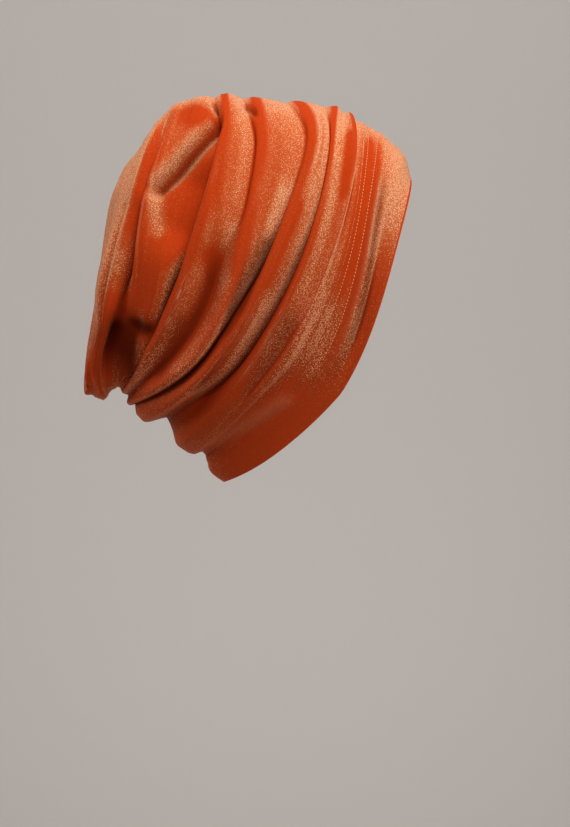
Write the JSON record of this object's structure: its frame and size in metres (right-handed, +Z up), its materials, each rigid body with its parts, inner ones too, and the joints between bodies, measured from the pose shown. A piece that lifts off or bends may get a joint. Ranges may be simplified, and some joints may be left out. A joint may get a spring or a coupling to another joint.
{
  "type": "slouchy beanie",
  "caption": "Slouchy stretch-velvet beanie held in its worn shape, with stacked slouch folds over the crown, a pouch hanging at the back and a turned stitched hem round the face and nape.",
  "frame": {"origin": "where the top of the wearer's head bears on the inside of the crown", "axes": "+Z up, +X the way the wearer faces, +Y the wearer's left"},
  "size_m": [0.2443, 0.1666, 0.291],
  "materials": {
    "velvet": "orange stretch velvet with a short shiny pile",
    "hem_velvet": "orange stretch velvet, turned under in two plies and stitched"
  },
  "bodies": {
    "root": {"crown": "velvet", "hem_band": "hem_velvet"}
  },
  "joints": []
}
